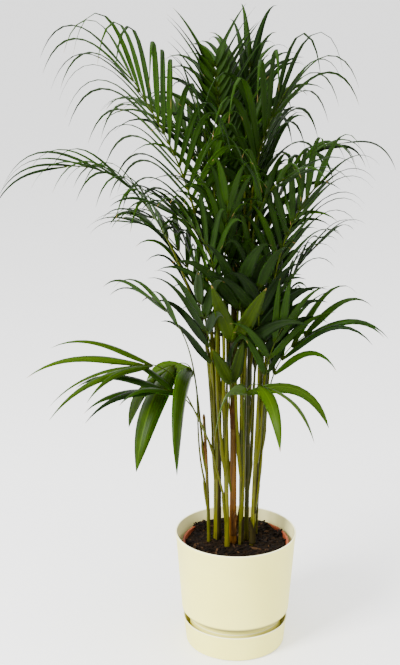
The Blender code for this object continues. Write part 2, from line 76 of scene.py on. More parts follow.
# Each pot: radius at the foot of its wall, thickness of wall and floor, radius of the bend below the wall
# (the nursery pot has none), and radius of the rounded lip
Pot = namedtuple("Pot", "base wall floor bend lip")
SAUCER = Pot(0.1024, 0.0028, 0.0030, 0.006, 0.0012)
PLANTER = Pot(0.1110, 0.0032, 0.0032, 0.008, 0.0013)
NURSERY_POT = Pot(0.0840, 0.0016, 0.0020, 0.0, 0.0008)
PLANTER_WALL_FOOT = 0.0790
PLANTER_FLOOR_TOP = 0.0700
NECK_TOP = 0.0620  # of the narrower part under the planter, which stands in the saucer
NECK_FOOT = 0.0034
NECK_RADIUS = 0.0945
PLANTER_DRAIN, NURSERY_DRAIN = 0.010, 0.012  # radii of the drain holes
BAND_HEIGHT, BAND_STEP = 0.014, 0.0030  # of the rim of the nursery pot

SOIL_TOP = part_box("potting_soil")[1].z
SOIL_RADIUS = 0.1026  # at its surface
SOIL_FOOT_RADIUS = 0.0832
SOIL_RINGS, SOIL_SPOKES = 46, 150
HEAP_HEIGHT = 0.0105  # of the soil against the back of the nursery pot
CHIP_COUNT = 1300
CHIP_REACH = 0.0985  # how far from the middle the strewn chips lie
CHIP_DARKNESS = 2.6  # the higher, the fewer pale chips
CHIP_SIZES = (0.0010, 0.0015, 0.0022, 0.0032)
CHIP_STRETCHES = (1.0, 1.3, 2.4, 3.6)
# Clumps of bark caught on the nursery pot's rim: direction in degrees, distance out, spread, number
CLUMPS = ((140, 0.097, 0.012, 90), (24, 0.099, 0.009, 50), (205, 0.095, 0.007, 25))

CANE_FLARE = 1.25  # how much wider a cane is where it meets the soil
CANE_FLARE_HEIGHT = 0.03
CANE_SIDES, CANE_RINGS = 20, 90
CANE_RING_SPACING = 0.055  # between leaf scars
SCAR_HALF_WIDTH = 0.0022
SCAR_BULGE = 0.035
OLD_SHEATH_ROWS, OLD_SHEATH_COLUMNS = 12, 14
OLD_SHEATH_THICKNESS = 0.0005

PETIOLE_RADIUS = 0.0012  # before its length is counted in
PETIOLE_RADIUS_PER_METRE = 0.0052
RACHIS_TIP_RADIUS = 0.0009
BLADE_THICKNESS = 0.0011
STATIONS = ((0.25, 1.0), (0.625, 0.60))  # where a leaflet is shaped, and its share of full width there
DROOP_POWER = 2.2  # how much of a leaflet's bend is left to its outer end
BASE_HALF_SHARE = 0.42  # half of a leaflet's base along the rachis, as a share of its width
LEAFLET_STEPS = 8
LEVELLING = 5.5  # how fast leaflets turn back to face the sky as their frond rolls
LEVELLING_START = 0.5  # sine of the roll at which they start to
CLEARANCE = 0.0012  # how far a leaflet stays from everything but its own rachis
ANGLE_JITTER = 4.0
LENGTH_JITTER = 0.06
JITTER_SEED = 11
# Other directions and lengths a leaflet tries when its place is taken: (swing, lift, share of its length)
LEAFLET_TRIES = (
    (0, 0, 1.0), (7, 0, 1.0), (-7, 0, 1.0), (0, 14, 1.0), (0, -14, 1.0), (13, 10, 0.95),
    (-13, 10, 0.95), (13, -12, 0.9), (-13, -12, 0.9), (0, 0, 0.8), (0, 24, 0.8), (0, -24, 0.75),
    (18, 0, 0.7), (-18, 0, 0.7), (0, 0, 0.6), (0, 30, 0.5), (0, 0, 0.42),
)
PETIOLE_RINGS = 5

# What is drawn finer than in the CAD
FINE_STEPS = 12  # segments along a finished leaflet
FINE_THICKNESS = 0.0005
BLADE_FOLDS = (0.25, 0.55)  # least and greatest crease along a leaflet
BLADE_TWIST = 25  # degrees, either way
BLADE_ROOT = 0.42  # width where a leaflet leaves the stalk, as a share of its full width
WIDEST_SHARE = 0.3  # where along a leaflet it is widest
SLIM_TAPER, FULL_TAPER = 1.25, 2.2  # the higher, the longer a leaflet keeps its width
ROOT_INSET = 0.0006  # how far a leaflet's root is sunk into the stalk
STALK_SIDES, STALK_RINGS = 8, 44
STALK_WIDE, STALK_HIGH = 1.08, 0.92
SHEATH_LENGTH = 0.075  # of a living frond's foot along its cane
SHEATH_RINGS = 7
SHEATH_SINK = 0.0003  # how far its edges are sunk into the cane
SHEATH_SWELL = 0.0012

CAMERA_PLACE = (-0.0736, -2.463, 1.399)
CAMERA_PITCH = 16.5
CAMERA_LENS = 70.7
FLOOR_REACH = 60
FLOOR_GLOW = 0.35
WORLD_STRENGTH = 1.75
# Each light: where it stands, where it points, the length of its sides, and its power in watts
LIGHTS = {
    "key": ((-2.2, -2.0, 2.2), (0, 0, 0.6), 1.1, 300),
    "top": ((0.2, -0.3, 3.6), (0, 0, 0.6), 2.4, 120),
}

# Tones of the cream pots: the two values between which each starts and, where it has an end, ends
# Painted shade under the planter's overhang, down to the saucer's lip
PAINTED_SHADE_BAND = ((0.0560, 0.0680), (0.0800, 0.0730))  # heights
# Painted highlights: a pale line along the saucer's lip and along the planter's rim
SAUCER_LIP_HIGHLIGHT = ((0.0542, 0.0550), (0.0575, 0.0565))
PLANTER_RIM_HIGHLIGHT = (0.2434, 0.2442)
# Bounds of the greyer painted shade inside the planter and inside the saucer
PLANTER_START = (0.080, 0.082)
PLANTER_INSIDE = (0.1035, 0.1027)  # radii, less the lean of the wall
SAUCER_INSIDE = (0.1012, 0.1006)
OUTSIDE_NECK = (0.0975, 0.0985)
PLANTER_LEAN, SAUCER_LEAN = 0.0795, 0.107  # of the walls, for each unit of height

# ---- Colours, linear ----
CREAM = ((0.87, 0.81, 0.19), (0.91, 0.855, 0.22))
# Painted shade: a greyer tone inside the pots
CREAM_PAINTED_SHADE_INSIDE = (0.78, 0.74, 0.34)
CREAM_SHADED = (0.13, 0.11, 0.045)
# Painted highlight on the rims
CREAM_HIGHLIGHT = (0.97, 0.95, 0.62)
TERRACOTTA = ((0.16, 0.036, 0.014), (0.25, 0.058, 0.022), (0.13, 0.055, 0.025))
PEAT = ((0.003, 0.002, 0.001), (0.012, 0.007, 0.003), (0.05, 0.029, 0.012))
DAMP_PATCH = (0.020, 0.011, 0.005)
BARK = ((0.004, 0.0025, 0.0015), (0.013, 0.0065, 0.0025), (0.065, 0.032, 0.012))
FLOOR_WHITE = ((0.90, 0.90, 0.895), (0.915, 0.915, 0.91))
SCAR_COLOR = (0.09, 0.060, 0.012)
CANE_FOOT_COLOR = (0.050, 0.026, 0.006)
DRY_TIP = (0.20, 0.11, 0.035)
# Canes: at the foot and at the top
CANE_COLORS = {
    "cane_green": ((0.082, 0.082, 0.001), (0.022, 0.036, 0.0006)),
    "cane_tan": ((0.160, 0.060, 0.003), (0.030, 0.032, 0.001)),
    "cane_dark": ((0.040, 0.042, 0.001), (0.018, 0.026, 0.0006)),
    "cane_dry": ((0.055, 0.060, 0.001), (0.150, 0.060, 0.008)),
}
# The other canes are green
CANE_SKINS = {"cane_1": "cane_dry", "cane_4": "cane_tan"}
CANE_SKINS.update({name: "cane_dark" for name in ("cane_5", "cane_6", "cane_8")})
# Old leaf bases: dark, middle and light streaks
SHEATH_COLORS = {
    "dry_sheath": ((0.022, 0.008, 0.002), (0.075, 0.030, 0.005), (0.17, 0.085, 0.020)),
    # The dark colours also paint shade: dark sheets down the shaded right side of canes 2, 5 and 7
    "dark_sheath": ((0.007, 0.005, 0.001), (0.017, 0.013, 0.002), (0.035, 0.030, 0.004)),
}
# Leaves: the dark and the light green
LEAF_COLORS = {
    "leaf": ((0.0012, 0.0062, 0.0), (0.0108, 0.0300, 0.0003)),
    # Painted light: a lighter copy of the leaf colours, for fronds lit from the front
    "painted_light_leaf": ((0.0110, 0.0270, 0.0), (0.0250, 0.0520, 0.0)),
    "olive_leaf": ((0.0060, 0.0135, 0.0), (0.0170, 0.0310, 0.0)),
    "shady_leaf": ((0.0004, 0.0026, 0.0), (0.0052, 0.0150, 0.0002)),
}
# Painted light and shade: fronds lit from the front take the lighter copy, fronds in the middle of the crown
# the shaded one
LEAF_SKINS = {
    "painted_light_leaf": ("left_broad", "right_front", "left_low"),
    "olive_leaf": ("front_low", "front_upright", "mid_broad", "mid_broad_left"),
    "shady_leaf": ("mid_front", "mid_front_left", "mid_front_right", "mid_left", "mid_right", "mid_back"),
}
STALK_COLORS = ((0.046, 0.048, 0.0008), (0.022, 0.036, 0.0006))  # at its foot and at its tip

# Leaflets are drawn wider than in the CAD, where they are kept clear of each other
USUAL_FULLNESS = 1.2
SLENDER_FULLNESS = {"left_arch": 1.0, "top_left": 1.1, "left_small": 1.0}
BROAD_FULLNESS = {
    "left_broad": 1.45, "right_front": 1.15, "front_low": 1.45,
    "front_upright": 1.6, "mid_broad": 1.3, "mid_broad_left": 1.4,
}
FULLNESS = {**SLENDER_FULLNESS, **BROAD_FULLNESS}

# ---- Canes and fronds, as in the CAD ----
Cane = namedtuple("Cane", "foot_x foot_y top_x top_y top_z foot_diameter top_diameter")
CANES = (
    (-0.055, 0.000, -0.066, 0.000, 0.50, 0.0075, 0.0060),
    (-0.038, 0.009, -0.040, 0.004, 0.74, 0.0160, 0.0120),
    (-0.018, -0.024, -0.030, -0.030, 0.62, 0.0100, 0.0080),
    (-0.006, -0.006, -0.008, 0.004, 0.92, 0.0146, 0.0110),
    (0.010, -0.015, 0.008, -0.016, 0.86, 0.0090, 0.0080),
    (0.022, 0.004, 0.026, 0.006, 0.80, 0.0100, 0.0080),
    (0.034, -0.013, 0.050, -0.014, 0.66, 0.0110, 0.0080),
    (0.043, 0.030, 0.062, 0.040, 0.58, 0.0060, 0.0050),
)
CANES = {f"cane_{number}": Cane(*row) for number, row in enumerate(CANES, 1)}
# Old leaf bases left on the canes, and dark sheets of the same shape that are painted shade: which cane, from
# and to what height, where round it, and its shape
Sheath = namedtuple("Sheath", "cane low high heading spread flare")
OLD_SHEATHS = {
    "old_sheath_low": ("cane_4", 0.238, 0.302, -35, 200, 0.0050),
    "old_sheath_high": ("cane_4", 0.470, 0.540, 215, 190, 0.0030),
    "old_sheath_left": ("cane_1", 0.395, 0.450, 200, 230, 0.0025),
    "dark_sheath_foot": ("cane_7", 0.222, 0.285, 230, 240, 0.0022),
    # Painted shade: dark sheets down the shaded right side of their canes
    "dark_sheath_left": ("cane_2", 0.222, 0.560, -12, 165, 0.0012),
    "dark_sheath_middle": ("cane_5", 0.222, 0.380, 10, 200, 0.0010),
    "dark_sheath_right": ("cane_7", 0.290, 0.520, 10, 170, 0.0010),
}
OLD_SHEATHS = {name: Sheath(*row) for name, row in OLD_SHEATHS.items()}
# height: where it leaves its cane. heading: degrees from +X towards +Y. rise, dip: slope at its two ends.
# reach, tip_height: where it ends. bare: share of it without leaflets. length, width: of the longest
# leaflet. fan_low, fan_high: angle between leaflet and stalk at either end of the leafy part. lift: how
# far leaflets stand out of its plane. roll: how far the petiole twists the leafy part.
Frond = namedtuple(
    "Frond",
    "cane height heading rise reach tip_height dip pairs bare length width fan_low fan_high lift droop roll",
)
FRONDS = {
    "left_arch": (2, 0.6, 187, 76, 0.3, 0.999, -12, 12, 0.5, 0.26, 0.013, 30, 16, 15, 2.3, 0),
    "left_broad": (1, 0.36, 188, 77, 0.065, 0.604, -25, 2, 0.82, 0.32, 0.036, 88, 52, -16, 3.2, 0),
    "right_front": (5, 0.34, 302, 84, 0.05, 0.582, 5, 2, 0.8, 0.25, 0.022, 52, 18, -20, 3.0, 0),
    "front_low": (4, 0.6, 268, 87, 0.032, 0.68, 80, 3, 0.55, 0.18, 0.022, 30, 12, 0, 0.1, 0),
    "front_upright": (3, 0.46, 300, 88, 0.02, 0.62, 86, 2, 0.75, 0.12, 0.016, 14, 6, 0, 0.1, 0),
    "mid_front": (5, 0.54, 262, 88, 0.04, 0.78, 70, 6, 0.45, 0.2, 0.022, 48, 20, 5, 1.0, 0),
    "mid_front_left": (2, 0.5, 235, 87, 0.05, 0.74, 65, 5, 0.45, 0.18, 0.02, 45, 20, 5, 1.0, 0),
    "mid_front_right": (7, 0.5, 265, 87, 0.05, 0.78, 65, 6, 0.45, 0.19, 0.02, 45, 20, 5, 1.0, 0),
    "mid_broad": (6, 0.52, 350, 88, 0.03, 0.7, 80, 3, 0.6, 0.18, 0.03, 26, 10, 0, 0.3, 0),
    "mid_broad_left": (3, 0.44, 100, 88, 0.03, 0.66, 80, 3, 0.6, 0.17, 0.026, 26, 10, 0, 0.3, 0),
    "top_left": (2, 0.66, 176, 87, 0.16, 1.175, 58, 15, 0.42, 0.33, 0.012, 50, 22, 10, 2.4, 45),
    "top_centre": (4, 0.8, 200, 89, 0.033, 1.185, 84, 15, 0.35, 0.19, 0.014, 50, 32, 2, 0.4, 90),
    "top_right": (5, 0.78, 8, 88, 0.095, 1.172, 52, 14, 0.4, 0.3, 0.012, 44, 16, 10, 2.4, -45),
    "right_fan": (7, 0.56, -15, 87, 0.092, 0.965, 55, 10, 0.42, 0.235, 0.012, 42, 22, 10, 1.6, -45),
    "right_arch": (6, 0.66, 8, 85, 0.167, 1.038, 8, 12, 0.5, 0.185, 0.015, 32, 14, 12, 3.0, 0),
    "left_low": (2, 0.42, 214, 64, 0.184, 0.632, -5, 3, 0.86, 0.27, 0.014, 18, 8, 10, 0.9, -30),
    "left_front": (3, 0.34, 205, 76, 0.16, 0.582, -5, 3, 0.8, 0.2, 0.016, 22, 8, 5, 1.1, -30),
    "left_small": (1, 0.44, 171, 84, 0.1, 0.735, 35, 3, 0.76, 0.16, 0.02, 22, 10, 10, 1.5, 30),
    "right_low": (7, 0.36, 5, 84, 0.086, 0.664, 35, 4, 0.7, 0.24, 0.014, 35, 12, 10, 1.5, 30),
    "right_mid": (7, 0.46, -35, 86, 0.047, 0.692, 60, 4, 0.55, 0.19, 0.014, 35, 12, 10, 0.8, -30),
    "back_left": (4, 0.6, 132, 86, 0.2, 1.08, 20, 13, 0.42, 0.24, 0.012, 38, 20, 15, 1.5, 0),
    "back_right": (6, 0.58, 75, 86, 0.17, 1.08, 30, 13, 0.42, 0.24, 0.012, 40, 20, 15, 1.3, 0),
    "left_inner": (2, 0.53, 163, 84, 0.125, 0.89, 20, 8, 0.5, 0.16, 0.013, 32, 15, 12, 1.8, 20),
    "left_back": (2, 0.45, 140, 86, 0.19, 0.86, 0, 9, 0.4, 0.19, 0.012, 36, 18, 15, 1.3, 0),
    "mid_left": (4, 0.4, 165, 87, 0.1, 0.9, 40, 10, 0.36, 0.19, 0.018, 38, 18, 15, 1.2, 20),
    "front_left": (3, 0.45, 212, 81, 0.1, 0.92, 30, 10, 0.58, 0.21, 0.013, 34, 18, 15, 1.2, 0),
    "front_high": (3, 0.57, 275, 88, 0.06, 0.96, 60, 12, 0.42, 0.2, 0.013, 36, 18, 12, 1.1, 0),
    "top_inner_left": (3, 0.58, 160, 88, 0.052, 1.13, 70, 12, 0.4, 0.2, 0.012, 36, 20, 10, 1.4, 40),
    "back_centre": (4, 0.68, 88, 87, 0.12, 1.15, 40, 13, 0.4, 0.25, 0.012, 42, 22, 15, 1.2, 0),
    "back_crown": (5, 0.71, 78, 88, 0.05, 1.18, 70, 12, 0.4, 0.2, 0.012, 38, 18, 10, 1.0, 0),
    "front_right": (5, 0.6, 312, 86, 0.12, 1.0, 20, 12, 0.45, 0.22, 0.013, 34, 18, 12, 1.3, 0),
    "front_mid": (5, 0.44, 225, 82, 0.07, 0.94, 45, 10, 0.6, 0.21, 0.014, 34, 16, 10, 1.2, 0),
    "top_inner_right": (6, 0.72, 110, 88, 0.03, 1.12, 80, 14, 0.35, 0.205, 0.013, 35, 18, 10, 1.0, 0),
    "mid_back": (6, 0.4, 110, 87, 0.09, 0.87, 50, 10, 0.36, 0.19, 0.018, 42, 20, 15, 1.0, 0),
    "mid_right": (6, 0.4, 35, 87, 0.11, 0.9, 45, 10, 0.36, 0.2, 0.018, 38, 18, 15, 1.1, -20),
    "right_back": (8, 0.46, 30, 86, 0.112, 0.819, 35, 9, 0.5, 0.19, 0.014, 40, 15, 15, 1.3, -30),
    "back_low": (8, 0.4, 80, 85, 0.15, 0.82, 10, 9, 0.38, 0.19, 0.014, 36, 18, 15, 1.2, 0),
}
FRONDS = {name: Frond(*row) for name, row in FRONDS.items()}


# ---- Materials ----
class Nodes:
    """Adds and wires the nodes of one material."""

    def __init__(self, name):
        self.material = bpy.data.materials.new(name)
        self.material.use_nodes = True
        self.tree = self.material.node_tree
        self.shader = self.tree.nodes["Principled BSDF"]

    def put(self, node, inputs):
        """Wires or sets the node's inputs, which are given by name or by number."""
        for key, value in inputs.items():
            socket = node.inputs[key]
            if isinstance(value, bpy.types.NodeSocket):
                self.tree.links.new(value, socket)
            elif socket.type == "RGBA":
                socket.default_value = (*value, 1)
            else:
                socket.default_value = value

    def add(self, kind, inputs=None, **settings):
        node = self.tree.nodes.new(kind)
        for key, value in settings.items():
            setattr(node, key, value)
        self.put(node, inputs or {})
        return node

    def position(self):
        return self.add("ShaderNodeTexCoord").outputs["Object"]

    def place(self):
        """The three coordinates of the shaded point."""
        return self.add("ShaderNodeSeparateXYZ", {0: self.position()}).outputs

    def attribute(self, name, output="Fac"):
        return self.add("ShaderNodeAttribute", attribute_name=name).outputs[output]

    def noise(self, scale, detail, roughness=0.5, stretch=(1, 1, 1)):
        where = self.add("ShaderNodeMapping", {"Vector": self.position(), "Scale": stretch}).outputs["Vector"]
        inputs = {"Vector": where, "Scale": scale, "Detail": detail, "Roughness": roughness}
        return self.add("ShaderNodeTexNoise", inputs).outputs["Fac"]

    def ramp(self, value, places, colors):
        node = self.add("ShaderNodeValToRGB", {"Fac": value})
        elements = node.color_ramp.elements
        while len(elements) < len(places):
            elements.new(0.5)
        for element, place, color in zip(elements, places, colors):
            element.position = place
            element.color = (*color, 1)
        return node.outputs["Color"]

    def mix(self, factor, first, second, blend="MIX"):
        inputs = {0: factor, 6: first, 7: second}
        return self.add("ShaderNodeMix", inputs, data_type="RGBA", blend_type=blend).outputs[2]

    def math(self, operation, *values, clamp=False):
        inputs = dict(enumerate(values))
        return self.add("ShaderNodeMath", inputs, operation=operation, use_clamp=clamp).outputs[0]

    def times(self, first, second):
        return self.math("MULTIPLY", first, second)

    def step(self, value, low, high):
        """0 below low, 1 above high, smooth between; low may be above high."""
        inputs = {"Value": value, "From Min": low, "From Max": high}
        return self.add("ShaderNodeMapRange", inputs, interpolation_type="SMOOTHSTEP").outputs["Result"]

    def band(self, value, start, end):
        return self.times(self.step(value, *start), self.step(value, *end))

    def bump(self, height, distance, strength=1.0):
        inputs = {"Height": height, "Distance": distance, "Strength": strength}
        self.put(self.shader, {"Normal": self.add("ShaderNodeBump", inputs).outputs["Normal"]})

    def finish(self, color, roughness, specular, **more):
        inputs = {"Base Color": color, "Roughness": roughness, "Specular IOR Level": specular}
        self.put(self.shader, inputs)
        self.put(self.shader, {key.replace("_", " "): value for key, value in more.items()})
        return self.material


def planter_material():
    """Matte cream plastic: a fine grain, painted highlights on the rim lips, a band of painted shade over the
    saucer, and a greyer painted shade inside the pots.
    """
    n = Nodes("cream_plastic")
    x, y, z = n.place()
    plain = n.ramp(n.noise(9, 4), (0.3, 0.7), CREAM)
    radius = n.math("SQRT", n.math("ADD", n.times(x, x), n.times(y, y)))
    in_planter = n.step(n.math("SUBTRACT", radius, n.times(z, PLANTER_LEAN)), *PLANTER_INSIDE)
    in_saucer = n.step(n.math("SUBTRACT", radius, n.times(z, SAUCER_LEAN)), *SAUCER_INSIDE)
    in_saucer = n.times(in_saucer, n.step(radius, *OUTSIDE_NECK))
    # Painted shade: a greyer tone inside the planter and inside the saucer
    painted_shade_inside = n.mix(n.step(z, *PLANTER_START), in_saucer, in_planter)
    plain = n.mix(painted_shade_inside, plain, CREAM_PAINTED_SHADE_INSIDE)
    # Painted shade: a darker band under the planter's overhang, down to the saucer's lip
    shaded = n.mix(n.times(n.band(z, *PAINTED_SHADE_BAND), 0.88), plain, CREAM_SHADED)
    # Painted highlight along the saucer's lip and the planter's rim
    edge = n.math("ADD", n.band(z, *SAUCER_LIP_HIGHLIGHT), n.step(z, *PLANTER_RIM_HIGHLIGHT), clamp=True)
    color = n.mix(n.times(edge, 0.8), shaded, CREAM_HIGHLIGHT)
    n.bump(n.noise(2400, 2), 0.00004, 0.5)
    return n.finish(color, n.math("MULTIPLY_ADD", n.noise(35, 4), 0.12, 0.34), 0.25)


def nursery_material():
    """Thin terracotta-coloured plastic, dusty with compost."""
    n = Nodes("terracotta_plastic")
    color = n.ramp(n.noise(60, 6), (0.35, 0.62, 0.8), TERRACOTTA)
    n.bump(n.noise(900, 3), 0.0001, 0.5)
    return n.finish(color, 0.5, 0.15)


def soil_material():
    """Damp peat with darker and lighter grains."""
    n = Nodes("soil")
    grains = n.ramp(n.noise(420, 8, 0.7), (0.32, 0.58, 0.78), PEAT)
    color = n.mix(n.step(n.noise(38, 4), 0.5, 0.75), grains, DAMP_PATCH)
    n.bump(n.noise(700, 8, 0.7), 0.0012)
    return n.finish(color, 0.9, 0.05)


def bark_material():
    """Chips of bark and coir, from near black to reddish brown."""
    n = Nodes("bark_chips")
    base = n.ramp(n.attribute("tone"), (0.0, 0.7, 1.0), BARK)
    grain = n.ramp(n.noise(300, 6), (0.3, 0.7), ((0.4, 0.4, 0.4), (1, 1, 1)))
    color = n.mix(0.5, base, grain, "MULTIPLY")
    n.bump(n.noise(900, 6), 0.0006)
    return n.finish(color, 0.8, 0.08)


def cane_material(name, foot_color, top_color):
    """Ribbed leaf-sheath skin: one colour at the foot and another at the top, with dry streaks and scars."""
    n = Nodes(name)
    height = n.place()[2]
    up = n.step(height, SOIL_TOP + 0.02, SOIL_TOP + 0.42)
    streaks = n.noise(1.0, 5, stretch=(420, 420, 14))
    base = n.mix(up, foot_color, top_color)
    streaky = n.mix(n.step(streaks, 0.40, 0.70), base, tuple(c * 0.30 for c in foot_color))
    scarred = n.mix(n.times(n.attribute("scar"), 0.4), streaky, SCAR_COLOR)
    foot = n.step(height, SOIL_TOP + 0.030, SOIL_TOP - 0.004)
    color = n.mix(n.times(foot, 0.35), scarred, CANE_FOOT_COLOR)
    n.bump(streaks, 0.0005, 0.6)
    return n.finish(color, 0.42, 0.12)


def sheath_material(name, colors):
    """Papery leaf base, streaked lengthwise; in the darkest colours it also serves as painted shade on a
    cane.
    """
    n = Nodes(name)
    streaks = n.noise(1.0, 5, stretch=(500, 500, 18))
    color = n.ramp(streaks, (0.35, 0.55, 0.75), colors)
    n.bump(streaks, 0.0005, 0.7)
    return n.finish(color, 0.7, 0.08)


def leaf_material(name, dark, light):
    """Leathery palm leaf: pleats, a pale midrib, a duller underside, and here and there a dry tip."""
    n = Nodes(name)
    blade = n.add("ShaderNodeSeparateColor", {0: n.attribute("blade", "Color")})
    along, across, chance = blade.outputs[:3]
    under = n.attribute("under")
    stalk = n.step(n.attribute("stalk"), 0.4, 0.6)
    mottle = n.math("MULTIPLY_ADD", n.noise(26, 4), 0.55, n.times(chance, 0.45))
    green = n.mix(n.step(mottle, 0.25, 0.78), dark, light)
    veins = n.math("SINE", n.times(across, 34.0))
    veined = n.mix(n.times(n.step(veins, 0.2, 1.0), 0.16), green, tuple(c * 1.7 for c in light))
    ribbed = n.mix(n.times(n.step(across, 0.13, 0.02), 0.45), veined, tuple(c * 1.8 for c in light))
    rooted = n.mix(n.times(n.step(along, 0.10, 0.0), 0.6), ribbed, STALK_COLORS[1])
    dry = n.times(n.step(along, 0.93, 0.99), n.step(chance, 0.55, 0.7))
    tipped = n.mix(dry, rooted, DRY_TIP)
    dull = n.mix(n.times(under, 0.35), tipped, tuple(0.9 * c + 0.0015 for c in light))
    color = n.mix(stalk, dull, n.mix(n.step(along, 0.15, 0.75), *STALK_COLORS))
    n.bump(veins, 0.00012, 0.5)
    roughness = n.math("MULTIPLY_ADD", under, 0.18, 0.36)
    return n.finish(
        color,
        roughness,
        0.05,
        Subsurface_Weight=0.12,
        Subsurface_Radius=(0.6, 1.0, 0.2),
        Subsurface_Scale=0.0012,
    )


def floor_material():
    """Pale studio ground that glows a little."""
    n = Nodes("pale_floor")
    color = n.ramp(n.noise(3, 3), (0.3, 0.7), FLOOR_WHITE)
    return n.finish(color, 0.6, 0.3, Emission_Color=(1, 1, 1), Emission_Strength=FLOOR_GLOW)


# ---- Meshes ----
def add_object(name, data):
    obj = bpy.data.objects.new(name, data)
    bpy.context.scene.collection.objects.link(obj)
    return obj


def add_mesh(name, vertices, faces, material, smooth=True):
    mesh = bpy.data.meshes.new(name)
    mesh.from_pydata([tuple(v) for v in vertices], [], faces)
    mesh.materials.append(material)
    if smooth:
        mesh.shade_smooth()
    return add_object(name, mesh)


def add_piece(obj, node):
    """The piece rides on the one body and stands for the named CAD node, which it hides."""
    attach(obj, "root")
    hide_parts(node)


def add_values(obj, name, values):
    """Stores one number for each vertex, for the material to read."""
    obj.data.attributes.new(name, "FLOAT", "POINT").data.foreach_set("value", values)


def quads(rings):
    """Faces between rings of vertices, each of the same count."""
    faces = []
    for ring, following in zip(rings, rings[1:]):
        for i in range(len(ring)):
            j = (i + 1) % len(ring)
            faces.append((ring[i], ring[j], following[j], following[i]))
    return faces


def numbered(rings, count):
    """The vertex numbers of so many rings, one after the other."""
    return [range(k * count, (k + 1) * count) for k in range(rings)]


def circle(radius, count, height):
    turns = [2 * pi * i / count for i in range(count)]
    return [(radius * cos(turn), radius * sin(turn), height) for turn in turns]


def turned(name, profile, closed, material):
    """Turns (radius, height) points about Z. A closed loop clears the axis; an open line ends on it."""
    vertices = []
    for radius, height in profile:
        vertices += circle(radius, TURN_STEPS, height)
    rings = numbered(len(profile), TURN_STEPS)
    obj = add_mesh(name, vertices, quads(rings + rings[:1] if closed else rings), material)
    weld_and_orient(obj.data)
    obj.data.set_sharp_from_angle(angle=radians(40))
    return obj


def weld_and_orient(mesh):
    """Joins the points on the axis and turns every face outwards."""
    work = bmesh.new()
    work.from_mesh(mesh)
    bmesh.ops.remove_doubles(work, verts=work.verts, dist=0.000005)
    bmesh.ops.dissolve_degenerate(work, edges=work.edges, dist=0.000001)
    bmesh.ops.recalc_face_normals(work, faces=work.faces)
    work.to_mesh(mesh)
    work.free()


def arc(centre, radius, start, end, steps):
    points = []
    for i in range(steps + 1):
        angle = radians(start + (end - start) * i / steps)
        points.append((centre[0] + radius * cos(angle), centre[1] + radius * sin(angle)))
    return points


def eased(share):
    """A share from 0 to 1 that starts and ends slowly."""
    return share * share * (3 - 2 * share)


def smooth(value, low, high):
    """0 at low, 1 at high, smooth between; low may be above high."""
    return eased(min(1.0, max(0.0, (value - low) / (high - low))))


# ---- Pots ----
def make_saucer(material):
    base, wall, floor, bend, lip = SAUCER
    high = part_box("saucer")[1]
    rim, top = high.x, high.z - lip
    profile = [(0.0, floor)]
    profile += arc((base - wall - floor, 2 * floor), floor, -90, 0, 5)
    profile += arc((rim - wall + lip, top), lip, 180, 90, 4)
    profile += arc((rim - lip, top), lip, 90, 0, 4)
    profile += [(rim - 0.0008, high.z - 0.006), (rim - 0.0014, high.z - 0.0065)]
    profile += arc((base - bend, bend), bend, 0, -90, 8)
    profile += [(0.0, 0.0)]
    return turned("saucer_shell", profile, False, material)


def make_planter(material):
    base, wall, floor, bend, lip = PLANTER
    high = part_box("outer_pot")[1]
    rim, top = high.x, high.z - lip
    inner, underside = base - wall, PLANTER_FLOOR_TOP - floor
    profile = arc((rim - lip, top), lip, 90, 0, 5)
    profile += [(rim - 0.0007, high.z - 0.0075), (rim - 0.0013, high.z - 0.0082)]
    profile += arc((base - bend, PLANTER_WALL_FOOT), bend, 0, -90, 12)
    profile += [(NECK_RADIUS + 0.002, PLANTER_WALL_FOOT - bend), (NECK_RADIUS, NECK_TOP)]
    profile += [(NECK_RADIUS, NECK_FOOT), (NECK_RADIUS - wall, NECK_FOOT), (NECK_RADIUS - wall, underside)]
    profile += [(PLANTER_DRAIN, underside), (PLANTER_DRAIN, PLANTER_FLOOR_TOP)]
    profile += arc((inner - bend, PLANTER_FLOOR_TOP + bend), bend, -90, 0, 8)
    profile += arc((rim - wall + lip, top), lip, 180, 90, 5)
    return turned("planter_shell", profile, True, material)


def make_nursery_pot(material):
    base, wall, floor, _, lip = NURSERY_POT
    low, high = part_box("nursery_pot")
    rim, neck = high.x, high.x - BAND_STEP
    slope = (neck - base) / (high.z - low.z)
    band_foot = high.z - BAND_HEIGHT
    profile = arc((rim - lip, high.z - lip), lip, 90, 0, 4)
    profile += [(rim - 0.0008, band_foot), (base + slope * (band_foot - low.z), band_foot)]
    profile += [(base, low.z), (NURSERY_DRAIN, low.z), (NURSERY_DRAIN, low.z + floor)]
    profile += [(base + slope * floor - wall, low.z + floor)]
    profile += [(neck - wall, high.z - 0.004), (neck - wall + 0.0006, high.z - 0.0005)]
    return turned("nursery_pot_shell", profile, True, material)


# ---- Soil ----
def heaped(x, y):
    """How much of the heap at the back of the pot lies at this place, from 0 to 1."""
    from_back = abs(degrees(atan2(y, x)) - 90)
    return smooth(from_back, 62, 38) * smooth(hypot(x, y), 0.060, 0.092)


def soil_height(x, y):
    """Height of the loose surface: a low mound with clods, heaped over the nursery pot's rim at the back."""
    radius = hypot(x, y)
    mound = SOIL_TOP - 0.0030 * max(0.0, (radius - 0.070) / 0.035) + HEAP_HEIGHT * heaped(x, y)
    clods = noise.fractal(Vector((x * 60, y * 60, 0.3)), 1.0, 2.0, 4) * 0.0022
    lumps = max(0.0, noise.noise(Vector((x * 34 + 5, y * 34, 1.7)))) * 0.006
    return mound + clods + lumps * min(1.0, (0.101 - radius) / 0.02 + 0.4)


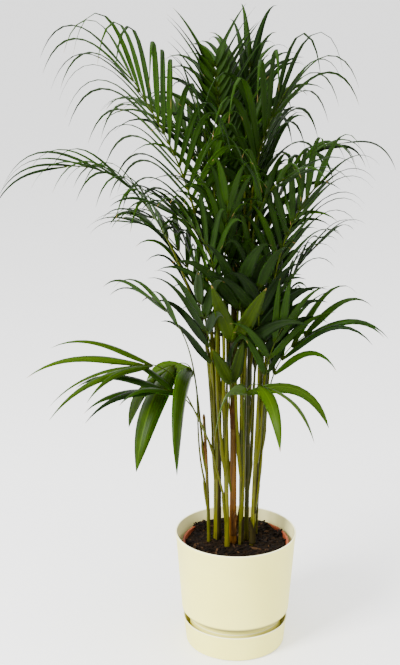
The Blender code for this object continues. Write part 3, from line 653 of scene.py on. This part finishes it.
def make_soil(material):
    """Rings of the loose surface from the middle outwards, then the narrower foot, closed underneath."""
    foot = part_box("potting_soil")[0].z
    vertices = []
    for ring in range(SOIL_RINGS + 1):
        outline = circle(SOIL_RADIUS * ring / SOIL_RINGS, SOIL_SPOKES, 0)
        vertices += [(x, y, soil_height(x, y)) for x, y, _ in outline]
    vertices += circle(SOIL_FOOT_RADIUS, SOIL_SPOKES, foot)
    vertices += circle(0, SOIL_SPOKES, foot)
    rings = numbered(SOIL_RINGS + 3, SOIL_SPOKES)
    obj = add_mesh("soil_bed", vertices, quads(rings), material)
    weld_and_orient(obj.data)
    return obj


CHIP_FACES = ((0, 1, 3, 2), (4, 6, 7, 5), (0, 4, 5, 1), (2, 3, 7, 6), (0, 2, 6, 4), (1, 5, 7, 3))


def chip(chance, centre, size, stretch, tilt):
    """The corners of one crumb or splinter of bark: a small irregular block, turned at random."""
    turn = Euler((chance.uniform(-tilt, tilt), chance.uniform(-tilt, tilt), chance.uniform(0, 2 * pi)))
    flat = chance.uniform(0.30, 0.60)
    corners = []
    for x, y, z in product((-1, 1), repeat=3):
        corner = Vector((x * stretch, y * 0.55, z * flat)) * size
        corner *= chance.uniform(0.75, 1.2)
        corner.rotate(turn)
        corners.append(corner + centre)
    return corners


def chip_places(chance):
    """Where chips lie: all over the soil, and heaped in clumps on the nursery pot's rim."""
    places = []
    for _ in range(CHIP_COUNT):
        radius = CHIP_REACH * sqrt(chance.random())
        angle = chance.uniform(0, 2 * pi)
        places.append((radius * cos(angle), radius * sin(angle), 0.0, 0.25))
    for heading, distance, spread, count in CLUMPS:
        centre = direction(heading, 0) * distance
        for _ in range(count):
            x = centre[0] + chance.gauss(0, spread / 2)
            y = centre[1] + chance.gauss(0, spread / 2)
            places.append((x, y, chance.uniform(0.0, 0.0045), 0.9))
    return places


def make_chips(material):
    chance = random.Random(5)
    vertices, faces, tones = [], [], []
    for x, y, raised, tilt in chip_places(chance):
        size = chance.choice(CHIP_SIZES)
        stretch = chance.choice(CHIP_STRETCHES)
        centre = Vector((x, y, soil_height(x, y) + raised + size * 0.3))
        start = len(vertices)
        vertices += chip(chance, centre, size, stretch, tilt)
        faces += [tuple(start + i for i in side) for side in CHIP_FACES]
        tones += [chance.random() ** CHIP_DARKNESS] * 8
    obj = add_mesh("soil_chips", vertices, faces, material, smooth=False)
    add_values(obj, "tone", tones)
    bevel = obj.modifiers.new("edges", "BEVEL")
    bevel.width = 0.0003
    return obj


# ---- Canes ----
def cane_centre(cane, height):
    share = (height - SOIL_TOP) / (cane.top_z - SOIL_TOP)
    lean = 0.5 * share + 0.5 * share * share
    x = cane.foot_x + (cane.top_x - cane.foot_x) * lean
    y = cane.foot_y + (cane.top_y - cane.foot_y) * lean
    return Vector((x, y, height))


def cane_radius(cane, height):
    share = (height - SOIL_TOP) / (cane.top_z - SOIL_TOP)
    plain = (cane.foot_diameter + (cane.top_diameter - cane.foot_diameter) * share) / 2
    flare = max(0.0, 1 - (height - SOIL_TOP) / CANE_FLARE_HEIGHT)
    return plain * (1 + (CANE_FLARE - 1) * flare * flare)


def make_cane(name, cane, material):
    """A ribbed tube with leaf scars, closed at both ends and rounded off at the top."""
    chance = random.Random(f"{name}scars")
    scars = []
    height = SOIL_TOP + 0.02
    while height < cane.top_z - 0.03:
        scars.append(height)
        height += CANE_RING_SPACING * chance.uniform(0.6, 1.5)
    heights = list(np.linspace(SOIL_TOP + GAP, cane.top_z, CANE_RINGS))
    heights = sorted(heights + [scar + step for scar in scars for step in (-0.0016, 0, 0.0016)])
    vertices, marks = [], []
    for height in heights:
        centre = cane_centre(cane, height)
        radius = cane_radius(cane, height)
        mark = max([0.0] + [1 - abs(height - scar) / SCAR_HALF_WIDTH for scar in scars])
        cap = min(1.0, (cane.top_z - height) / 0.006)
        radius *= (1 + SCAR_BULGE * mark) * sqrt(max(0.02, cap))
        for side in range(CANE_SIDES):
            angle = 2 * pi * side / CANE_SIDES
            rib = 1 + 0.018 * sin(5 * angle + height * 9)
            vertices.append(centre + Vector((cos(angle), sin(angle), 0)) * radius * rib)
            marks.append(mark)
    rings = numbered(len(heights), CANE_SIDES)
    ends = [tuple(reversed(rings[0])), tuple(rings[-1])]
    obj = add_mesh(f"{name}_skin", vertices, quads(rings) + ends, material)
    add_values(obj, "scar", marks)
    return obj


def make_old_sheath(name, sheath, material):
    """A dry, split leaf base that still clings to its cane, its upper edge ragged and standing off; also a
    dark sheet of painted shade down one side of a cane.
    """
    cane = CANES[sheath.cane]
    chance = random.Random(name)
    rows, columns = OLD_SHEATH_ROWS, OLD_SHEATH_COLUMNS
    ragged = [chance.uniform(0.55, 1.0) for _ in range(columns + 1)]
    vertices, faces = [], []
    for row in range(rows + 1):
        share = row / rows
        for column in range(columns + 1):
            height = sheath.low + (sheath.high - sheath.low) * share * ragged[column]
            spread = sheath.spread * (1 - 0.35 * share)
            angle = radians(sheath.heading + spread * (column / columns - 0.5))
            out = cane_radius(cane, height) + OLD_SHEATH_THICKNESS + sheath.flare * share**2.2
            vertices.append(cane_centre(cane, height) + Vector((cos(angle), sin(angle), 0)) * out)
    for row in range(rows):
        for column in range(columns):
            a = row * (columns + 1) + column
            faces.append((a, a + 1, a + columns + 2, a + columns + 1))
    obj = add_mesh(name, vertices, faces, material)
    shell = obj.modifiers.new("thickness", "SOLIDIFY")
    shell.thickness = OLD_SHEATH_THICKNESS
    return obj


# ---- Fronds ----
LEFT = 1
RIGHT = -1
LEAFY_SIDES = {0: LEFT, 2: RIGHT}
FAR_SIDE = 2  # the broad side of a blade opposite its first


def unit(vector):
    return vector / np.linalg.norm(vector)


def direction(heading, slope):
    h = radians(heading)
    s = radians(slope)
    return np.array((cos(h) * cos(s), sin(h) * cos(s), sin(s)))


class Rachis:
    """The stalk of a frond: a Bezier arch with a side and an up direction along it."""

    SAMPLES = 96

    def __init__(self, frond):
        cane = CANES[f"cane_{frond.cane}"]
        outward = direction(frond.heading, 0)
        straight = hypot(frond.reach, frond.tip_height - frond.height)
        self.petiole_radius = PETIOLE_RADIUS + PETIOLE_RADIUS_PER_METRE * straight
        seat = cane_radius(cane, frond.height) + self.petiole_radius + GAP
        start = np.array(cane_centre(cane, frond.height)) + outward * seat
        end = start + outward * frond.reach
        end[2] = frond.tip_height
        span = np.linalg.norm(end - start)
        first = start + direction(frond.heading, frond.rise) * span * 0.5
        last = end - direction(frond.heading, frond.dip) * span * 0.33
        t = np.linspace(0, 1, self.SAMPLES)[:, None]
        self.points = (
            (1 - t) ** 3 * start + 3 * (1 - t) ** 2 * t * first + 3 * (1 - t) * t * t * last + t**3 * end
        )
        steps = np.linalg.norm(np.diff(self.points, axis=0), axis=1)
        self.length = steps.sum()
        self.share = np.concatenate(([0], np.cumsum(steps))) / self.length
        side = direction(frond.heading + 90, 0)
        self.tangents = np.array([unit(v) for v in np.gradient(self.points, axis=0)])
        ups = np.array([unit(np.cross(v, side)) for v in self.tangents])
        twist = np.clip(self.share / frond.bare, 0, 1)[:, None]
        roll = radians(frond.roll) * eased(twist)
        self.sides = side * np.cos(roll) + ups * np.sin(roll)
        self.ups = ups * np.cos(roll) - side * np.sin(roll)

    def at(self, table, share):
        return np.array([np.interp(share, self.share, table[:, k]) for k in range(3)])

    def radius(self, share):
        return self.petiole_radius + (RACHIS_TIP_RADIUS - self.petiole_radius) * share**0.8

    def ring(self, share):
        """Four corners: upper left, lower left, lower right, upper right."""
        centre = self.at(self.points, share)
        side = self.at(self.sides, share) * self.radius(share)
        up = self.at(self.ups, share) * self.radius(share)
        return [centre + side + up, centre + side - up, centre - side - up, centre - side + up]


def leaflet_line(rachis, frond, place, hand, swing, lift, size, steps=LEAFLET_STEPS, inset=0.0):
    """Centre line of a leaflet: straight out of the rachis, then bending down under its weight."""
    share = frond.bare + (1 - frond.bare) * place
    tangent = rachis.at(rachis.tangents, share)
    side = rachis.at(rachis.sides, share) * hand
    up = rachis.at(rachis.ups, share)
    fan = radians(frond.fan_low + (frond.fan_high - frond.fan_low) * place + swing)
    rise = radians(frond.lift + lift)
    heading = tangent * cos(fan) + sin(fan) * (side * cos(rise) + up * sin(rise))
    fullness = 0.62 + 0.38 * sin(pi * (0.15 + 0.60 * place))
    length = frond.length * fullness * (1 - 0.20 * place) * size
    point = rachis.at(rachis.points, share) + side * rachis.radius(share)
    points = [point - side * inset]
    for step in range(steps):
        bend = frond.droop * ((step + 0.5) / steps) ** DROOP_POWER
        point = point + unit(heading - np.array((0, 0, bend))) * length / steps
        points.append(point)
    return np.array(points), tangent


def levelled(across, along, weight):
    """The blade's width direction, turned part of the way to the horizontal."""
    level = np.cross(along, (0.0, 0.0, 1.0))
    if np.dot(level, across) < 0:
        level = -level
    weight = min(1.0, weight)
    return unit(across * (1 - weight) + level * weight)


def blade_sections(points, tangent, width, thickness, hand, level):
    """Corners of the blade at each station, in the order of its base face's corners."""
    steps = len(points) - 1
    sections = []
    across = tangent
    for share, wide in STATIONS:
        index = int(round(share * steps))
        along = unit(points[index + 1] - points[index - 1])
        across = unit(across - along * np.dot(across, along))
        facing = levelled(across, along, level * share)
        normal = np.cross(facing, along) * hand
        half = facing * width * wide / 2
        rise = normal * thickness / 2
        centre = points[index]
        corners = [centre - half + rise, centre + half + rise, centre + half - rise, centre - half - rise]
        if hand == RIGHT:
            corners.reverse()
        sections.append(corners)
    return sections


def blade_faces(rings, tip):
    """Triangles that join each ring of four corners to the next, and the last of them to the tip.

    Both broad sides are split along the same diagonal, so a twisted blade keeps its thickness.
    """
    faces = []
    for ring, following in zip(rings, rings[1:]):
        for i in range(4):
            j = (i + 1) % 4
            if i == FAR_SIDE:
                faces += [(ring[i], ring[j], following[i]), (ring[j], following[j], following[i])]
            else:
                faces += [(ring[i], ring[j], following[j]), (ring[i], following[j], following[i])]
    for i in range(4):
        faces.append((rings[-1][i], rings[-1][(i + 1) % 4], tip))
    return faces


def blade_hull(base, points, tangent, width, hand, level):
    """A slightly swollen blade as a small closed mesh, for finding what it would touch."""
    thickness = BLADE_THICKNESS + CLEARANCE
    sections = blade_sections(points, tangent, width + CLEARANCE, thickness, hand, level)
    vertices = [*base]
    for corners in sections:
        vertices += corners
    vertices.append(points[-1] + unit(points[-1] - points[-2]) * CLEARANCE)
    rings = numbered(len(sections) + 1, 4)
    return vertices, [(0, 1, 2, 3)] + blade_faces(rings, len(vertices) - 1)


class Crowd:
    """Every leaflet and stalk placed so far, to keep the next leaflet clear of them."""

    def __init__(self):
        self.trees = []
        self.lows = np.zeros((0, 3))
        self.highs = np.zeros((0, 3))
        self.owners = []

    def add(self, owner, vertices, faces):
        corners = np.array([tuple(v) for v in vertices])
        self.trees.append(BVHTree.FromPolygons([Vector(v) for v in corners], faces))
        self.lows = np.vstack((self.lows, corners.min(0)))
        self.highs = np.vstack((self.highs, corners.max(0)))
        self.owners.append(owner)

    def touches(self, owner, vertices, faces):
        corners = np.array([tuple(v) for v in vertices])
        near = np.all(self.lows <= corners.max(0), axis=1) & np.all(self.highs >= corners.min(0), axis=1)
        tree = BVHTree.FromPolygons([Vector(v) for v in corners], faces)
        for index in np.flatnonzero(near):
            if self.owners[index] != owner and self.trees[index].overlap(tree):
                return True
        return False


def leaflet_places(frond):
    return [i / (frond.pairs - 1) for i in range(frond.pairs)]


def ring_shares(frond, rachis):
    """Where the stalk's rings lie along it: a few on the petiole, then two at each pair of leaflets."""
    half = BASE_HALF_SHARE * frond.width / rachis.length
    shares = list(np.linspace(0, frond.bare - 2 * half, PETIOLE_RINGS))
    for place in leaflet_places(frond):
        share = frond.bare + (1 - frond.bare - half) * place
        shares += [share - half, min(1.0, share + half)]
    return shares


def add_rachis_to_crowd(name, frond, rachis, crowd):
    shares = ring_shares(frond, rachis)
    for low, high in zip(shares, shares[1:]):
        crowd.add(name, rachis.ring(low) + rachis.ring(high), quads(numbered(2, 4)))


def add_cane_to_crowd(cane, crowd):
    heights = np.linspace(SOIL_TOP, cane.top_z, 14)
    for low, high in zip(heights, heights[1:]):
        vertices = []
        for height in (low, high):
            centre = np.array(cane_centre(cane, height))
            for corner in range(6):
                out = direction(60 * corner, 0) * (cane_radius(cane, height) + GAP)
                vertices.append(centre + out)
        crowd.add("canes", vertices, quads(numbered(2, 6)))


def place_leaflet(name, rachis, frond, place, hand, base, chance, crowd):
    """The swing, lift and size with which the leaflet touches nothing; or None."""
    swing = chance.uniform(-ANGLE_JITTER, ANGLE_JITTER)
    size = 1 + chance.uniform(-LENGTH_JITTER, LENGTH_JITTER)
    level = LEVELLING * max(0.0, abs(sin(radians(frond.roll))) - LEVELLING_START)
    for more_swing, lift, share in LEAFLET_TRIES:
        points, tangent = leaflet_line(rachis, frond, place, hand, swing + more_swing, lift, size * share)
        vertices, faces = blade_hull(base, points, tangent, frond.width, hand, level)
        if not crowd.touches(name, vertices, faces):
            crowd.add(f"{name}/{place:.3f}/{hand}", vertices, faces)
            return swing + more_swing, lift, size * share, level
    return None


class Surface:
    """Vertices, faces and the values that the leaf material reads, gathered over a whole frond."""

    def __init__(self):
        self.vertices = []
        self.faces = []
        self.values = []

    def add(self, point, along, across, chance, stalk, under):
        self.vertices.append(tuple(point))
        self.values.append((along, across, chance, 1.0, stalk, under))
        return len(self.vertices) - 1

    def loft(self, rings):
        """Joins the rings by quads and closes both ends."""
        self.faces += quads(rings)
        self.faces += [tuple(reversed(rings[0])), tuple(rings[-1])]

    def make(self, name, material):
        obj = add_mesh(name, self.vertices, self.faces, material)
        blade = obj.data.attributes.new("blade", "FLOAT_COLOR", "POINT")
        values = np.array(self.values, np.float32)
        blade.data.foreach_set("color", values[:, :4].ravel())
        add_values(obj, "stalk", values[:, 4])
        add_values(obj, "under", values[:, 5])
        return obj


# Places across a blade, from one edge over the upper face to the other, and back under it
ACROSS = ((-1, 0), (-0.5, 1), (0, 1), (0.5, 1), (1, 0), (0.5, -1), (0, -1), (-0.5, -1))


def blade_width(share, width, taper):
    """Narrow where it leaves the stalk, widest near a third, then a long taper to the tip."""
    if share < WIDEST_SHARE:
        return width * (BLADE_ROOT + (1 - BLADE_ROOT) * sin(share / WIDEST_SHARE * pi / 2))
    return width * max(0.02, 1 - ((share - WIDEST_SHARE) / (1 - WIDEST_SHARE)) ** taper)


def add_blade(surface, points, tangent, width, taper, hand, level, chance):
    """A pleated, tapering leaflet with a raised midrib, as one closed strip."""
    steps = len(points) - 1
    fold = chance.uniform(*BLADE_FOLDS)
    twist = radians(chance.uniform(-BLADE_TWIST, BLADE_TWIST))
    tone = chance.random()
    rings = []
    across = tangent
    for k, point in enumerate(points):
        share = k / steps
        along = unit(points[min(k + 1, steps)] - points[max(k - 1, 0)])
        across = unit(across - along * np.dot(across, along))
        facing = levelled(across, along, level * share)
        normal = np.cross(facing, along) * hand
        angle = twist * share
        wide = facing * cos(angle) + normal * sin(angle)
        high = normal * cos(angle) - facing * sin(angle)
        half = blade_width(share, width, taper) / 2
        thick = FINE_THICKNESS / 2 * (1.0 if share < 0.9 else 0.5)
        ring = []
        for place, face in ACROSS:
            drop = fold * abs(place) * half * (1 - 0.5 * share)
            offset = wide * place * half + high * (face * thick - drop)
            ring.append(surface.add(point + offset, share, abs(place), tone, 0.0, 1.0 if face < 0 else 0.0))
        rings.append(ring if hand == LEFT else list(reversed(ring)))
    surface.loft(rings)


def add_stalk(surface, rachis, frond):
    """The sheath round the cane, the petiole and the rachis: one tube, a little wider than it is high."""
    cane = CANES[f"cane_{frond.cane}"]
    rings = []
    start = rachis.points[0]
    for k in range(SHEATH_RINGS):
        share = k / SHEATH_RINGS
        height = max(SOIL_TOP + 0.004, frond.height - SHEATH_LENGTH * (1 - share))
        middle = np.array(cane_centre(cane, height))
        blend = eased(share)
        target = np.array((start[0], start[1], height))
        centre = middle * (1 - blend) + target * blend
        hug = cane_radius(cane, height) - SHEATH_SINK + SHEATH_SWELL * sin(pi * share)
        radius = hug * (1 - blend) + rachis.petiole_radius * 1.15 * blend
        rings.append(stalk_ring(surface, centre, rachis.sides[0], rachis.ups[0], radius, radius, 0.0))
    for share in np.linspace(0, 1, STALK_RINGS):
        centre = rachis.at(rachis.points, share)
        side = unit(rachis.at(rachis.sides, share))
        up = unit(rachis.at(rachis.ups, share))
        radius = rachis.radius(share)
        rings.append(stalk_ring(surface, centre, side, up, radius * STALK_WIDE, radius * STALK_HIGH, share))
    surface.loft(rings)


def stalk_ring(surface, centre, side, up, wide, high, share):
    ring = []
    for corner in range(STALK_SIDES):
        angle = 2 * pi * corner / STALK_SIDES
        point = centre + side * cos(angle) * wide + up * sin(angle) * high
        ring.append(surface.add(point, share, 0.5, 0.5, 1.0, 0.0))
    return ring


def make_frond(key, frond, rachis, material, crowd):
    """The same leaflets as the CAD frond, found the same way, then drawn fine."""
    name = f"frond_{key}"
    chance = random.Random(f"{name}{JITTER_SEED}")
    finish_chance = random.Random(f"{name} finish")
    surface = Surface()
    width = frond.width * FULLNESS.get(key, USUAL_FULLNESS)
    taper = FULL_TAPER if key in BROAD_FULLNESS else SLIM_TAPER
    add_stalk(surface, rachis, frond)
    corners = [rachis.ring(share) for share in ring_shares(frond, rachis)]
    for index, place in enumerate(leaflet_places(frond)):
        ring = corners[PETIOLE_RINGS + 2 * index]
        following = corners[PETIOLE_RINGS + 2 * index + 1]
        for side, hand in LEAFY_SIDES.items():
            after = (side + 1) % 4
            base = [ring[side], following[side], following[after], ring[after]]
            chosen = place_leaflet(name, rachis, frond, place, hand, base, chance, crowd)
            if chosen is None:
                continue
            swing, lift, size, level = chosen
            line = leaflet_line(rachis, frond, place, hand, swing, lift, size, FINE_STEPS, ROOT_INSET)
            add_blade(surface, *line, width, taper, hand, level, finish_chance)
    return surface.make(f"{name}_leaves", material)


# ---- Stage ----
def make_camera():
    data = bpy.data.cameras.new("camera")
    data.lens = CAMERA_LENS
    camera = add_object("camera", data)
    camera.location = CAMERA_PLACE
    camera.rotation_euler = (radians(90 - CAMERA_PITCH), 0, 0)
    bpy.context.scene.camera = camera


def add_area_light(name, place, target, side, power):
    data = bpy.data.lights.new(name, "AREA")
    data.size = side
    data.energy = power
    light = add_object(name, data)
    light.location = place
    aim = Vector(target) - Vector(place)
    light.rotation_euler = aim.to_track_quat("-Z", "Y").to_euler()


def make_stage():
    corners = [(x * FLOOR_REACH, y * FLOOR_REACH, 0) for x, y in ((-1, -1), (1, -1), (1, 1), (-1, 1))]
    floor = add_mesh("floor", corners, [(0, 1, 2, 3)], floor_material())
    world = bpy.data.worlds.new("studio")
    bpy.context.scene.world = world
    world.use_nodes = True
    background = world.node_tree.nodes["Background"]
    background.inputs["Color"].default_value = (1, 1, 1, 1)
    background.inputs["Strength"].default_value = WORLD_STRENGTH
    for name, light in LIGHTS.items():
        add_area_light(name, *light)


def add_pots_and_soil():
    cream = planter_material()
    add_piece(make_saucer(cream), "saucer")
    add_piece(make_planter(cream), "outer_pot")
    add_piece(make_nursery_pot(nursery_material()), "nursery_pot")
    add_piece(make_soil(soil_material()), "potting_soil")
    add_piece(make_chips(bark_material()), "potting_soil")


def add_canes(crowd):
    skins = {name: cane_material(name, *colors) for name, colors in CANE_COLORS.items()}
    old = {name: sheath_material(name, colors) for name, colors in SHEATH_COLORS.items()}
    for name, sheath in OLD_SHEATHS.items():
        # The dark colours go to a real dry sheath at cane 7's foot and to the sheets of painted shade
        skin = old["dark_sheath" if name.startswith("dark") else "dry_sheath"]
        add_piece(make_old_sheath(name, sheath, skin), sheath.cane)
    for name, cane in CANES.items():
        skin = skins[CANE_SKINS.get(name, "cane_green")]
        add_piece(make_cane(name, cane, skin), name)
        add_cane_to_crowd(cane, crowd)


def add_fronds(crowd):
    skins = {name: leaf_material(name, *colors) for name, colors in LEAF_COLORS.items()}
    skin_names = {frond: skin for skin, fronds in LEAF_SKINS.items() for frond in fronds}
    stalks = {name: Rachis(frond) for name, frond in FRONDS.items()}
    for name, rachis in stalks.items():
        add_rachis_to_crowd(f"frond_{name}", FRONDS[name], rachis, crowd)
    for name, frond in FRONDS.items():
        skin = skins[skin_names.get(name, "leaf")]
        add_piece(make_frond(name, frond, stalks[name], skin, crowd), f"frond_{name}")


def main():
    make_camera()
    make_stage()
    add_pots_and_soil()
    crowd = Crowd()
    add_canes(crowd)
    add_fronds(crowd)


main()
